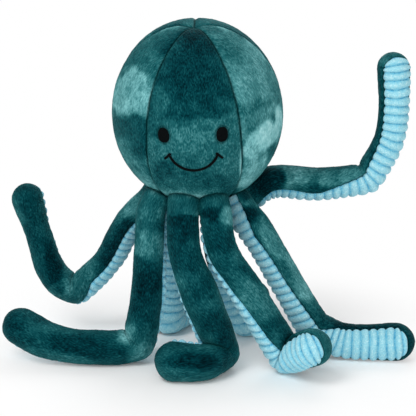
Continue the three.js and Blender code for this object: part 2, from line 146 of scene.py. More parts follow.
def gridPiece(name, points, normals, marks, uv, keep=None):  # a cloth piece from rows of points
    rows, columns = points.shape[:2]
    row, column = np.meshgrid(np.arange(rows - 1), np.arange(columns - 1), indexing="ij")
    start = row * columns + column
    quads = np.stack([start, start + 1, start + columns + 1, start + columns], -1).reshape(-1, 4)
    if keep is not None:
        quads = quads[keep.ravel()]
    corners = points.reshape(-1, 3)[quads]
    faceWay = np.cross(corners[:, 2] - corners[:, 0], corners[:, 3] - corners[:, 1])
    if np.sum(faceWay * normals.reshape(-1, 3)[quads[:, 0]]) < 0:
        quads = quads[:, ::-1]
    used, quads = np.unique(quads, return_inverse=True)
    quads = quads.reshape(-1, 4)
    flat = points.reshape(-1, 3)[used]
    mesh = bpy.data.meshes.new(name)
    mesh.from_pydata(flat.tolist(), [], quads.tolist())
    mesh.update()
    for mark, values in marks.items():
        layer = mesh.attributes.new(mark, "FLOAT", "POINT")
        layer.data.foreach_set("value", values.reshape(-1)[used].astype(np.float32))
    layer = mesh.uv_layers.new(name="weave")
    layer.data.foreach_set("uv", uv.reshape(-1, 2)[used][quads.ravel()].astype(np.float32).ravel())
    mesh.polygons.foreach_set("use_smooth", [True] * len(mesh.polygons))
    mesh.normals_split_custom_set_from_vertices(normals.reshape(-1, 3)[used].tolist())
    return addObject(name, mesh)


# Nap patches, some of them painted highlights and painted shadow: across and down in the photograph, half
# width, half height, turn, lightness, softness. Brushed patches: across and down in the photograph, half
# width, half height, turn, lightness, softness
# A scratch script fitted most lightness values to the photograph's mean tone in the patch.
napAndPaintedLightSpots = {
    "head_front": [
        (196, 42, 20, 26, 0, -0.05, 0.5), (190, 80, 34, 36, 0, 0.05, 0.5), (163, 108, 16, 14, 10, 0.27, 0.5),
        (200, 98, 34, 10, -4, 0.14, 0.5), (190, 158, 50, 38, 0, 0.45, 0.08),
        (206, 134, 50, 19, -7, 0.5, 0.06), (200, 112, 30, 7, -4, 0.16, 0.4), (160, 102, 8, 13, 8, 0.45, 0.5),
        (236, 155, 11, 15, 0, 0.52, 0.5), (208, 180, 30, 7, 8, 0.3, 0.5), (163, 170, 9, 8, 0, 0.19, 0.5),
        # the narrow patch at 242 across is a painted highlight on the ridge by the face's right seam
        (176, 199, 40, 9, 0, 0.79, 0.5), (242, 166, 2.6, 16, 0, 1.02, 0.6),
    ],
    "head_left": [
        # the patch at 178 across, 21 down is a painted highlight along the top rim
        (160, 45, 34, 22, -40, 0.43, 0.6), (178, 21, 26, 6, -16, 0.95, 0.5), (172, 42, 20, 7, -38, 0.16, 0.6),
        (142, 62, 18, 10, -50, 0.44, 0.6), (131, 94, 26, 25, 12, 0.83, 0.22), (152, 112, 6, 12, 0, 0.82, 0.5),
        (131, 140, 24, 24, 10, 0.24, 0.22), (120, 156, 14, 26, -38, 0.62, 0.5),
        (140, 186, 20, 12, 30, 0.84, 0.5),
    ],
    "head_right": [
        # the patches at 222 across, 22 down and 256 across, 44 down are painted highlights along the top rim
        (250, 70, 36, 34, 30, 0.71, 0.6), (222, 22, 26, 6, 20, 1.05, 0.5), (256, 44, 20, 6, 46, 0.95, 0.5),
        (246, 52, 14, 8, 35, 0.72, 0.6), (228, 48, 16, 8, 40, 0.48, 0.6), (262, 84, 8, 14, -20, 0.76, 0.6),
        (252, 96, 18, 8, 0, 0.72, 0.6), (262, 116, 26, 8, -38, 0.68, 0.4), (246, 128, 12, 14, 20, 0.6, 0.5),
        # the narrow patch at 279 across is a painted highlight on the right rim
        (264, 138, 24, 12, -46, 1.04, 0.3), (279, 118, 4, 13, 0, 1.1, 0.5), (252, 152, 10, 8, -30, 0.87, 0.4),
        (256, 176, 24, 17, -30, 0.82, 0.3),
    ],
    "left_rear": [
        (135, 208, 12, 14, 30, 0.66, 0.4), (127, 232, 9, 16, 30, -0.05, 0.4),
        (112, 252, 8, 20, 35, -0.05, 0.6), (85, 290, 26, 12, 0, 0.46, 0.5), (62, 287, 15, 9, -25, 0.62, 0.1),
        # the narrow patch at 25 across is a painted highlight along the left edge
        (25, 235, 4, 40, -12, 0.5, 0.7), (52, 265, 9, 26, -16, -0.05, 0.5), (34, 240, 7, 40, -12, 0.2, 0.6),
        (27, 196, 14, 16, 0, 0.15, 0.5),
    ],
    "left_front": [
        (154, 212, 12, 16, 0, 0.44, 0.5), (150, 245, 16, 15, 10, 0.58, 0.35),
        (147, 282, 16, 18, 5, -0.05, 0.4), (126, 335, 8, 12, 30, 0.78, 0.5),
        (140, 352, 16, 8, -20, 0.65, 0.5), (80, 348, 46, 12, 8, 0.04, 0.5), (60, 357, 46, 5, 12, 0.43, 0.7),
        (14, 325, 12, 14, 0, 0.06, 0.5),
    ],
    "front_left": [
        # the dark patch at 222 down is a painted shadow under the chin
        (183, 206, 22, 8, 0, 0.36, 0.06), (184, 231, 17, 12, 0, 0.01, 0.4), (183, 222, 19, 8, 0, -0.05, 0.1),
        (182, 258, 15, 14, 0, 0.13, 0.5), (196, 292, 16, 12, -30, 0.17, 0.5),
        (212, 322, 14, 14, 0, 0.11, 0.5), (226, 340, 12, 22, 0, 0.07, 0.5), (196, 362, 26, 10, 0, -0.05, 0.5),
        (186, 375, 26, 6, 6, 0.4, 0.6), (226, 366, 14, 6, -20, 0.19, 0.6),
    ],
    "front_right": [
        (213, 214, 10, 8, 0, -0.05, 0.4), (228, 217, 9, 9, 0, 0.77, 0.3), (220, 240, 14, 16, 0, 0.13, 0.4),
        (222, 264, 12, 8, 20, 0.22, 0.5), (250, 296, 14, 22, -40, 0.51, 0.5),
        (276, 325, 14, 10, -30, 0.21, 0.5), (290, 342, 8, 8, 0, 0.09, 0.5), (325, 345, 8, 24, -20, 0.39, 0.5),
    ],
    "right_front": [
        # the dark patches at 194 and 215 down are painted shadow under the head
        (247, 194, 9, 7, 0, -0.02, 0.4), (253, 203, 7, 5, 0, 0.5, 0.5), (249, 215, 10, 8, 0, -0.1, 0.4),
        (272, 240, 9, 22, -28, 0.65, 0.5), (305, 292, 9, 16, -32, 0.82, 0.5),
        (296, 270, 6, 20, -30, 0.75, 0.6), (330, 315, 14, 8, 30, 0.22, 0.5), (370, 325, 50, 6, 0, -0.04, 0.5),
        (410, 342, 6, 18, 0, 0.01, 0.5),
    ],
    "right_rear": [
        # the dark patches at 264 and 278 across are painted shadow beside the head
        (264, 182, 13, 14, 0, -0.2, 0.4), (295, 177, 20, 10, 0, 0.71, 0.4), (278, 180, 8, 10, 0, -0.05, 0.4),
        (330, 178, 14, 8, 0, 0.63, 0.4), (352, 176, 14, 8, 0, 0.63, 0.4), (378, 120, 12, 60, 0, 0.19, 0.5),
        (390, 58, 14, 8, 0, 0.48, 0.5),
    ],
}
napLooks = {
    "lumps": 26 * mm,  # size of the patches where the photograph shows none
    "streaks": (8 * mm, 4 * mm),
    "base": 0.36,
    "sway": 0.26,
    "brushed": (0.09, 0.05),  # lighter and darker streaks all over, wide and narrow
    "edgeSize": 7 * mm,
    "edgeWander": 0.22,  # how far a patch's edge wanders, in its own radius
    "facing": (-0.15, 0.25),  # patches end where the cloth turns away from the picture
}


# the nap's lightness, with the painted highlights and painted shadow of some patches blended in
def laidNapAndPaintedLight(points, normals, spots, seed):
    value = napLooks["base"] + napLooks["sway"] * cloud(points, napLooks["lumps"], seed)
    pixels, back = inPicture(points)
    facing = smooth(*napLooks["facing"], normals @ back)
    wander = napLooks["edgeWander"] * cloud(points, napLooks["edgeSize"], seed + 2)
    for across, down, wide, high, turn, light, soft in spots:
        angle = math.radians(turn)
        dx, dy = pixels[..., 0] - across, pixels[..., 1] - down
        u = (dx * math.cos(angle) + dy * math.sin(angle)) / wide
        v = (dy * math.cos(angle) - dx * math.sin(angle)) / high
        near = smooth(1 + soft, 1 - soft, np.hypot(u, v) + wander) * facing
        value = value * (1 - near) + light * near
    for size, depth in zip(napLooks["streaks"], napLooks["brushed"]):
        value = value + depth * cloud(points, size, seed + 1)
    return value


head = {
    "place": (-8.804 * mm, -23.459 * mm, 208.7 * mm),
    "half": (69.3 * mm, 69.3 * mm, 76.3 * mm),
    "lean": 13.0,
    "tip": 1.4,
    "turn": 3.0,
    "seams": (-33.0, 33.0, 96.0, 180.0, 264.0),
    "gores": ("front", "right", "back_right", "back_left", "left"),
    "faceSpread": 0.2,
    "puff": 1.3 * mm,  # how far the gores swell over their seams
    "groove": 1.1 * mm,
    "grooveWidth": 1.5 * mm,
    "apexDip": 3.2 * mm,
    "apexSpread": 8.0,
    "swell": (34 * mm, 0.7 * mm),  # size and height of the filling's lumps
    "pucker": (3.1 * mm, 0.22 * mm),  # pitch and depth of the gathers along a seam
    "puckerStray": (18 * mm, 5),
    "puckerReach": 4 * mm,
    "calmReach": 3 * mm,  # the cloth is smooth this near a seam
    # width of the painted shade in the seams
    "seamShadeWidth": 0.85 * mm,
    "seamShadeFade": (98, 125),  # the painted shade in the seams grows fainter between these angles from the top
    "seamShadeFaint": 0.6,
    "seamShadePatches": (9 * mm, 0.25),
    "apexRadius": 0.4 * mm,
    "hem": 2.4 * mm,
    "rows": 132,
    "columns": 54,
    "faceFineness": 1.7,  # the face's own mesh is finer, for its dents
    "patchRadius": 21 * mm,
    "patchDip": (1.5 * mm, 0.8 * mm),
    # width of the painted shade along the base patch's seam
    "patchSeamShade": 0.9 * mm,
    "patchRings": 24,
    "patchColumns": 120,
}
headAxes = np.array(
    Matrix.Rotation(-math.radians(head["turn"]), 3, "Z")
    @ Matrix.Rotation(-math.radians(head["tip"]), 3, "Y")
    @ Matrix.Rotation(math.radians(head["lean"]), 3, "X")
)
headHalf = np.array(head["half"])
headPlace = np.array(head["place"])


def fromHead(points):
    return points @ headAxes.T + headPlace


def toHead(points):
    return (points - headPlace) @ headAxes


def seamAngle(n, theta):
    own = n % len(head["seams"])
    angle = head["seams"][own] + (360 if n > own else 0)
    spread = np.maximum(0, -np.cos(theta)) * head["faceSpread"] if own < 2 else 0
    return np.radians(angle + head["seams"][own] * spread)


def headSurface(theta, phi, inset):
    sine = np.sin(theta)
    way = np.stack([sine * np.sin(phi), -sine * np.cos(phi), np.cos(theta)], -1)
    normal = unit(way / headHalf)
    return way * headHalf - normal * np.asarray(inset)[..., None], normal


def offHead(points):  # distance from the head's cloth, and the way out of it in the head's axes
    scaled = toHead(points) / headHalf
    length = np.linalg.norm(scaled, axis=-1, keepdims=True)
    slope = scaled / headHalf / np.maximum(length, 1e-9)
    steep = np.linalg.norm(slope, axis=-1, keepdims=True)
    return (length - 1) / steep, slope / steep


def clearOfHead(points, gap):  # moves points that lie in the head out to its cloth
    distance, way = offHead(points)
    return fromHead(toHead(points) + way * np.maximum(gap - distance, 0))


def patchStart():  # the angle from the top where the base patch begins
    return math.pi - math.asin(head["patchRadius"] / headHalf[0])


def makeGore(number, name):
    fineness = head["faceFineness"] if name == "front" else 1
    rows = np.linspace(head["apexRadius"] / headHalf[0], patchStart(), int(head["rows"] * fineness))
    theta = np.concatenate([rows[:1], rows, rows[-1:]])
    share = np.concatenate([[0], np.linspace(0, 1, int(head["columns"] * fineness)), [1]])
    theta, share = np.meshgrid(theta, share, indexing="ij")
    start, end = seamAngle(number, theta), seamAngle(number + 1, theta)
    phi = start + (end - start) * share
    width = (end - start) * np.sin(theta) * headHalf[0]
    aside = np.minimum(share, 1 - share) * width  # distance to the nearer seam
    across = np.abs(2 * share - 1)
    inset = head["puff"] * np.sin(theta) * across**4
    inset = inset + head["groove"] * bell(aside, head["grooveWidth"])
    inset = inset + head["apexDip"] * bell(theta, math.radians(head["apexSpread"]))
    inset[[0, -1]] += head["hem"]
    inset[:, [0, -1]] += head["hem"]
    outer, way = headSurface(theta, phi, inset)
    swellSize, swellHeight = head["swell"]
    swell = swellHeight * cloud(outer, swellSize, 11 + number)
    pitch, depth = head["pucker"]
    straySize, stray = head["puckerStray"]
    pucker = depth * np.sin(theta * headHalf[2] / pitch + stray * cloud(outer, straySize, 31))
    pucker = pucker * bell(aside, head["puckerReach"]) * np.sin(theta)
    calm = smooth(0, head["calmReach"], aside)[..., None]
    if name == "front":
        dent, near = faceDent(outer[..., 0], outer[..., 2])
        swell = swell * (1 - face["flatness"] * near) - dent
    lift = (swell * np.sin(theta) + crushed(outer, pileDents, 51))[..., None] * calm
    points = outer + way * (lift + pucker[..., None])
    normals = gridNormals(points, way) @ headAxes.T
    world = fromHead(points)
    marks = {
        "nap": laidNapAndPaintedLight(world, normals, napAndPaintedLightSpots.get("head_" + name, []), 60 + number),
        # painted shade in the seam grooves
        "seam": bell(aside, head["seamShadeWidth"]) * seamShadeStrength(theta, outer),
    }
    if name == "front":
        # painted shadow of the pile beside the eyes and the smile
        stitched = face["stitchShade"] * np.minimum(dent / face["smileDent"], 1) ** 2
        marks["seam"] = np.maximum(marks["seam"], stitched)
    uv = np.stack([(share - 0.5) * width, theta * headHalf[2]], -1)
    piece = gridPiece("gore_" + name, world, normals, marks, uv)
    dress(piece, "velour", "head", ["head_gore_" + name])
    return piece


def seamShadeStrength(theta, points):  # painted shade in the seams: dark above, and fainter low on the head
    start, end = head["seamShadeFade"]
    low = smooth(math.radians(start), math.radians(end), theta)
    size, sway = head["seamShadePatches"]
    return 1 - head["seamShadeFaint"] * low + sway * cloud(points, size, 33)


def dress(piece, slotName, body, nodes=(), ends=None):
    piece.data.materials.append(finishes[slotName])
    if nodes:
        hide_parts(*nodes)
    if ends is None:
        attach(piece, body)
    else:
        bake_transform(piece)
    return piece


class Wire:  # a shader socket that takes part in sums
    def __init__(self, tree, socket=None):
        self.tree, self.socket = tree, socket

    def add(self, kind, settings, sockets, out=0):
        node = self.tree.nodes.new(kind)
        for key, value in settings.items():
            if key == "stops":
                ramp = node.color_ramp
                for n, (place, colour) in enumerate(value):
                    stop = ramp.elements[n] if n < 2 else ramp.elements.new(place)
                    stop.position, stop.color = place, colour
            else:
                setattr(node, key, value)
        for key, value in sockets.items():
            if isinstance(value, Wire):
                self.tree.links.new(value.socket, node.inputs[key])
            else:
                node.inputs[key].default_value = value
        return Wire(self.tree, node.outputs[out] if len(node.outputs) else None)

    def sum(self, operation, first, second):
        return self.add("ShaderNodeMath", {"operation": operation}, {0: first, 1: second})

    def __add__(self, other):
        return self.sum("ADD", self, other)

    __radd__ = __add__

    def __sub__(self, other):
        return self.sum("SUBTRACT", self, other)

    def __rsub__(self, other):
        return self.sum("SUBTRACT", other, self)

    def __mul__(self, other):
        return self.sum("MULTIPLY", self, other)

    __rmul__ = __mul__

    def mix(self, low, high):  # this value picks between two colours
        settings = {"data_type": "RGBA"}
        return self.add("ShaderNodeMix", settings, {0: self, 6: low, 7: high}, 2)


def shade(code):  # a colour as it is written for screens, as the shader needs it
    parts = [int(code[k : k + 2], 16) / 255 for k in (0, 2, 4)]
    return (*(c / 12.92 if c <= 0.04045 else ((c + 0.055) / 1.055) ** 2.4 for c in parts), 1)


def startNodes(owner):
    owner.use_nodes = True
    owner.node_tree.nodes.clear()
    return Wire(owner.node_tree)


def startFinish(name):
    material = bpy.data.materials.new(name)
    return material, startNodes(material)


def closeFinish(wire, sockets):
    shader = wire.add("ShaderNodeBsdfPrincipled", {}, sockets)
    wire.add("ShaderNodeOutputMaterial", {}, {"Surface": shader})


def mark(wire, name):  # a value that the mesh carries
    return wire.add("ShaderNodeAttribute", {"attribute_name": name}, {}, "Fac")


def relief(wire, height, strength, distance):
    return wire.add("ShaderNodeBump", {}, {"Strength": strength, "Distance": distance, "Height": height})


def stretched(wire, across, along, lean=0):  # the cloth's own coordinates, drawn out along the pile
    weave = wire.add("ShaderNodeUVMap", {"uv_map": "weave"}, {})
    if lean:
        noise = {"Vector": weave, "Scale": velour["leanScale"], "Detail": 1.0}
        astray = wire.add("ShaderNodeTexNoise", {}, noise, "Color")
        sockets = {0: astray, 1: (lean,) * 3, 2: weave}
        weave = wire.add("ShaderNodeVectorMath", {"operation": "MULTIPLY_ADD"}, sockets)
    return wire.add("ShaderNodeVectorMath", {"operation": "MULTIPLY"}, {0: weave, 1: (across, along, 1)})


def grain(wire, across, along, detail=2.0, lean=0):
    place = stretched(wire, across, along, lean)
    return wire.add("ShaderNodeTexNoise", {}, {"Vector": place, "Scale": 1.0, "Detail": detail}, "Fac")


velour = {
    "range": (-0.25, 1.25),  # lightness of the nap, with its painted highlights and painted shadow, at the two ends of the ramp
    "stops": (
        (-0.25, shade("000f15")),
        (0.0, shade("00252c")),
        (0.25, shade("053b41")),
        (0.5, shade("195559")),
        (0.75, shade("417d80")),
        (1.0, shade("76b2b5")),
        (1.25, shade("a8d8d9")),
    ),
    # the colour of the painted shade in the seams and beside the stitches
    "seam": shade("001518"),
    "clumps": (150, 90),  # noise scales across and along the pile, per metre
    "strokes": (420, 230),
    "tufts": (900, 400),
    "clumpDepth": 0.42,
    "strokeDepth": 0.36,
    "tuftDepth": 1.05,
    "darkTufts": 0.7,  # how much less the tufts stand out where the mark of nap and painted light is light
    "lean": 5 * mm,  # how far the pile's direction strays
    "leanScale": 60.0,
    "seamDark": 0.95,
    "strokeRelief": 0.6,
    "relief": (0.6, 1.4 * mm),
    "roughness": 0.85,
    "brushedSmooth": 0.2,  # how much smoother the pile is where it is light
    "gloss": {
        "Sheen Weight": 0.2,
        "Sheen Roughness": 0.4,
        "Sheen Tint": shade("2f9a9a"),
        "Specular IOR Level": 0.12,
        "Specular Tint": shade("4fb0b0"),
    },
}


def makeVelour():
    material, wire = startFinish("velour")
    # the nap mark carries the pile's own patches, with painted highlights and painted shadow among them
    nap = mark(wire, "nap")
    seam = mark(wire, "seam")
    clumps = grain(wire, *velour["clumps"]) - 0.5
    strokes = grain(wire, *velour["strokes"], lean=velour["lean"]) - 0.5
    tufts = grain(wire, *velour["tufts"], 1.0, velour["lean"]) - 0.5
    laid = nap + clumps * velour["clumpDepth"] + strokes * velour["strokeDepth"]
    laid = laid + tufts * (velour["tuftDepth"] - nap * velour["darkTufts"])
    low, high = velour["range"]
    stops = [((place - low) / (high - low), colour) for place, colour in velour["stops"]]
    share = (laid - low) * (1 / (high - low))
    ramp = wire.add("ShaderNodeValToRGB", {"stops": stops}, {"Fac": share}, "Color")
    closeFinish(wire, {
        # painted seam shade over the nap colours
        "Base Color": (seam * velour["seamDark"]).mix(ramp, velour["seam"]),
        "Roughness": velour["roughness"] - nap * velour["brushedSmooth"],
        "Normal": relief(wire, strokes * velour["strokeRelief"] + tufts, *velour["relief"]),
        **velour["gloss"],
    })
    return material


ribbed = {
    # colours from groove to crest: the ribbed cloth's own blue, with painted shade in the grooves and a
    # painted highlight on the crests
    "stops": (
        (0.0, shade("2c93c2")),
        (0.3, shade("6ab8d0")),
        (0.75, shade("97ceda")),
        (1.0, shade("bbe0e6")),
    ),
    "deep": shade("10414c"),  # the colour of the painted shade on the pile under the head
    "tufts": (900, 900),
    "pile": (330, 330),
    "level": 0.74,
    "tuftDepth": 0.9,
    "pileDepth": 0.6,
    "relief": (0.6, 1.2 * mm),
    "roughness": 0.9,
    "tuftSmooth": 0.1,
    "gloss": {
        "Sheen Weight": 0.25,
        "Sheen Roughness": 0.5,
        "Sheen Tint": shade("d8f0f6"),
        "Specular IOR Level": 0.2,
    },
}


def makeRibbed():
    material, wire = startFinish("ribbed")
    # the crest mark paints a highlight on the rib crests and shade in the grooves
    crest = mark(wire, "crest")
    tufts = grain(wire, *ribbed["tufts"], 1.0) - 0.5
    pile = grain(wire, *ribbed["pile"]) - 0.5
    height = crest * ribbed["level"] + tufts * ribbed["tuftDepth"] + pile * ribbed["pileDepth"]
    ramp = wire.add("ShaderNodeValToRGB", {"stops": ribbed["stops"]}, {"Fac": height}, "Color")
    closeFinish(wire, {
        # painted shade on the ribs under the head
        "Base Color": mark(wire, "deep").mix(ramp, ribbed["deep"]),
        "Roughness": ribbed["roughness"] - tufts * ribbed["tuftSmooth"],
        "Normal": relief(wire, tufts + pile, *ribbed["relief"]),
        **ribbed["gloss"],
    })
    return material


thread = {
    "colours": (shade("010202"), shade("0c1012")),
    "twist": (2600, 500),
    "relief": (0.5, 0.3 * mm),
    "gloss": {"Roughness": 0.8, "Specular IOR Level": 0.03},
}


def makeThread():
    material, wire = startFinish("thread")
    twist = grain(wire, *thread["twist"], 1.0)
    closeFinish(wire, {
        "Base Color": twist.mix(*thread["colours"]),
        "Normal": relief(wire, twist, *thread["relief"]),
        **thread["gloss"],
    })
    return material


finishes = {"velour": makeVelour(), "ribbed": makeRibbed(), "thread": makeThread()}


face = {
    "eyeSpacing": 45.8 * mm,
    "eyeHalf": (4.4 * mm, 5.9 * mm),
    "eyeHeight": 9.6 * mm,
    "eyeRelief": 0.7 * mm,
    "eyeSink": 0.8 * mm,  # how deep the stitches lie in the pile
    "eyeDent": 1.3 * mm,
    "smileDent": 0.7 * mm,
    "dentReach": 1.7 * mm,
    "stitchPitch": 0.55 * mm,
    "smileRadius": 19.9 * mm,
    "smileLow": 19.6 * mm,
    "smileSpread": 71.0,
    "thread": 1.02 * mm,
    "tickLength": 7.6 * mm,
    "tickSlant": 46.0,
    "tickSpan": (-0.25, 0.75),  # the tick begins inside the smile's end
    "flatness": 0.8,  # how much smoother the face is than the rest of its gore
    "flatReach": (36 * mm, 26 * mm),
    "flatLow": 3 * mm,
    "stitchShade": 0.5,  # how dark the painted shadow of the pile beside the stitches is
    "eyeEdge": 0.95,
    "eyePower": 2.5,  # a little squarer than an oval
    "eyeRound": 3.2,
    "eyeHem": 1.8 * mm,
    "eyeRings": 40,
    "eyeColumns": 96,
    "stitchDepth": 0.1 * mm,
    "stitchSlant": 0.12,
    "threadSink": 0.15 * mm,
    "threadTwist": (0.9 * mm, 0.12),
    "threadFlat": 0.75,
    "threadEnd": 16,  # a higher power gives blunter ends
    "threadSides": 12,
    "smilePoints": 220,
    "tickPoints": 48,
}


def onFace(x, z, out):  # a place on the face gore, in the head's own axes
    inside = 1 - (x / headHalf[0]) ** 2 - (z / headHalf[2]) ** 2
    y = -headHalf[1] * np.sqrt(inside)
    point = np.stack([x, y, z], -1)
    return point + unit(point / headHalf**2) * np.asarray(out)[..., None]


def faceDent(x, z):  # how deep the stitches pull the face in, and how near the face is
    middle = face["smileRadius"] - face["smileLow"]
    turn = np.arctan2(np.abs(x), middle - z)
    spread = math.radians(face["smileSpread"])
    end = face["smileRadius"] * math.sin(spread), middle - face["smileRadius"] * math.cos(spread)
    aside = np.hypot(np.abs(x) - end[0], z - end[1])
    aside = np.where(turn < spread, np.abs(np.hypot(x, z - middle) - face["smileRadius"]), aside)
    wide, high = face["eyeHalf"]
    rim = np.hypot((np.abs(x) - face["eyeSpacing"] / 2) / wide, (z - face["eyeHeight"]) / high)
    rim = np.maximum(rim - face["eyeEdge"], 0) * wide
    dent = face["smileDent"] * bell(aside, face["dentReach"]) + face["eyeDent"] * bell(rim, face["dentReach"])
    return dent, smooth(*face["flatReach"], np.hypot(x, z + face["flatLow"]))


def makeEye(name, side):
    wide, high = face["eyeHalf"]
    radius = np.linspace(0, 1, face["eyeRings"])[:, None]
    turn = fullTurn(face["eyeColumns"])[None, :]
    power = face["eyePower"]
    squarer = (np.abs(np.cos(turn)) ** power + np.abs(np.sin(turn)) ** power) ** (-1 / power)
    x = radius * np.cos(turn) * wide * squarer
    z = radius * np.sin(turn) * high * squarer
    crown = face["eyeRelief"] * np.sqrt(np.maximum(0, 1 - radius ** face["eyeRound"]))
    turns = 2 * math.pi * (z + face["stitchSlant"] * x) / face["stitchPitch"]
    stitches = face["stitchDepth"] * np.cos(turns) * (radius < face["eyeEdge"])
    out = crown - face["eyeSink"] + stitches
    out[-1] = -face["eyeHem"]
    points = onFace(side * face["eyeSpacing"] / 2 + x, face["eyeHeight"] + z, out)
    world = fromHead(points)
    normals = gridNormals(world, world - headPlace)
    piece = gridPiece(name, world, normals, {}, np.stack([x, z], -1))
    dress(piece, "thread", "head", [name.replace("stitched_", "")])


def threadLine(name, paths, nodes):
    pieces = []
    turn = fullTurn(face["threadSides"])
    pitch, twist = face["threadTwist"]
    for path in paths:
        steps = np.linspace(0, 1, len(path))
        centre = onFace(path[:, 0], path[:, 1], np.full(len(path), -face["threadSink"]))
        ahead = unit(np.gradient(centre, axis=0))
        up = unit(centre / headHalf**2)
        aside = np.cross(ahead, up)
        length = lengthAlong(centre)
        girth = face["thread"] * (1 + twist * np.cos(2 * math.pi * length / pitch))
        girth = girth * np.sqrt(np.maximum(0.02, 1 - (2 * steps - 1) ** face["threadEnd"]))
        flat = face["threadFlat"] * np.sin(turn)
        ring = np.cos(turn)[None, :, None] * aside[:, None] + flat[None, :, None] * up[:, None]
        world = fromHead(centre[:, None] + ring * girth[:, None, None])
        across, along = np.meshgrid(turn * face["thread"], length)
        pieces.append(gridPiece(name, world, ring @ headAxes.T, {}, np.stack([across, along], -1)))
    with bpy.context.temp_override(active_object=pieces[0], selected_editable_objects=pieces):
        bpy.ops.object.join()
    dress(pieces[0], "thread", "head", nodes)


def makeSmile():
    centre = face["smileRadius"] - face["smileLow"]
    turn = np.radians(face["smileSpread"]) * np.linspace(-1, 1, face["smilePoints"])
    arc = np.stack([face["smileRadius"] * np.sin(turn), centre - face["smileRadius"] * np.cos(turn)], -1)
    paths = [arc]
    slant = math.radians(face["tickSlant"])
    reach = face["tickLength"] * np.linspace(*face["tickSpan"], face["tickPoints"])
    for side, end in ((-1, arc[0]), (1, arc[-1])):
        tick = [end[0] + side * reach * math.cos(slant), end[1] - reach * math.sin(slant)]
        paths.append(np.stack(tick, -1))
    threadLine("stitched_smile", paths, ["smile"])


def makeHead():
    for number, name in enumerate(head["gores"]):
        makeGore(number, name)
    makeBasePatch()
    makeEye("stitched_left_eye", -1)
    makeEye("stitched_right_eye", 1)
    makeSmile()


def makeBasePatch():
    start = patchStart()
    theta = np.concatenate([[start], np.linspace(start, math.pi, head["patchRings"])])
    phi = fullTurn(head["patchColumns"])
    theta, phi = np.meshgrid(theta, phi, indexing="ij")
    edge = (theta - start) * headHalf[0]
    width, dip = head["patchDip"]
    inset = dip * bell(edge, width)
    inset[0] += head["hem"]
    points, way = headSurface(theta, phi, inset)
    world = fromHead(points)
    normals = way @ headAxes.T
    # nap with no patches, and painted shade along the patch's seam
    marks = {"nap": laidNapAndPaintedLight(world, normals, [], 77), "seam": bell(edge, head["patchSeamShade"])}
    uv = np.stack([np.sin(theta) * np.cos(phi), np.sin(theta) * np.sin(phi)], -1) * headHalf[0]
    piece = gridPiece("base_patch", world, normals, marks, uv)
    dress(piece, "velour", "head", ["head_base_patch"])


limb = {
    "bend": 3,  # the place on a route where the second joint is
    "rootRadius": 13 * mm,
    "reach": 200 * mm,
    "floorCut": 0.5 * mm,
    "stripHalf": 63.0,  # half of the ribbed strip, in degrees round the tentacle
    "stripCorner": 13 * mm,  # the round end of the strip
    "tipReach": 10 * mm,  # how far the strip climbs the round tip
    "ribPitch": 7.1 * mm,
    "ribHeight": 3.0 * mm,
    "ribStand": 1.2 * mm,
    "ribEnd": 3.2 * mm,  # the round ends of the ribs at the seam
    "ribReach": 1.3 * mm,  # how far the ribs swell over the seam
    "rootShadeShare": 0.6,  # painted shade: the ribs are darker near the head, under it
    "rootShadeReach": 30 * mm,
    "seamDip": 1.7 * mm,
    "seamRoll": (-0.5 * mm, 3.0 * mm),  # the velour rolls down to its seam between these
    "hem": 3.2 * mm,
    "step": 1.15 * mm,
    "tipRows": 22,
    "tipEnd": 0.995,  # share of the quarter turn over the round tip
    "ribStep": 0.55 * mm,
    "columns": 72,
    "ribColumns": 26,
    "lineStep": 0.5 * mm,
    "routePoints": 240,
    "neckPoints": 40,
    "neckStart": 1 * mm,
    "rootEase": (4 * mm, 5 * mm),  # how widely the line and its direction turn at the root
    "bendEase": (2.5 * mm, 7 * mm),  # and at the bend
    "bendReach": 14 * mm,  # the two sides of a bend point to places this far from it
    "creaseGive": 1.1 * mm,
    "creaseGap": 0.2 * mm,
    "creaseReach": 45 * mm,
    "offHead": 0.5 * mm,
    "offFloor": 0.1 * mm,
    "split": 0.45,  # where the root's piece meets the limb's, from the root to the bend
    "rootBlend": (9 * mm, 30 * mm),  # the root's piece bends from inside the head to below the joint
    "bendBlend": 20 * mm,
    "lumps": ((24 * mm, 0.75 * mm), (9 * mm, 0.3 * mm)),
    "ribDents": ((2.2 * mm, 0.14 * mm), (1.1 * mm, 0.08 * mm)),
    "foldPitch": 2.6,  # this and the reach in mm
    "foldReach": 15,
    "foldStray": (16 * mm, 1.6),
    "foldShape": (0.35, 2.5),  # round swells between sharp creases
    "foldDepth": 1.5 * mm,
    "bendFolds": 1,  # share of the folds' depth
    "hemTuck": (1.6 * mm, 0.2 * mm, -2 * mm),  # the hem goes in under the ribs between these
    # painted shade along the strip's seam, and painted shadow where the tentacle meets the head: width and
    # share
    "stripSeamShade": (0.9 * mm, 0.6),
    "rootShadow": (2.4 * mm, 0.85),
    "stripStart": -20 * mm,
    "ribSway": (13 * mm, 0.9 * mm),
    "ribFullness": (6 * mm, 0.15),
    "ribPlace": (5 * mm, 9 * mm),  # how far the fullness changes from rib to rib, and across one
    "ribHem": 1.2 * mm,
    "ribTuck": 1.1,
    "ribLean": 0.55,
    # painted shade: the crests are darker at the ribs' ends by the seam
    "crestEdge": 0.35,
}

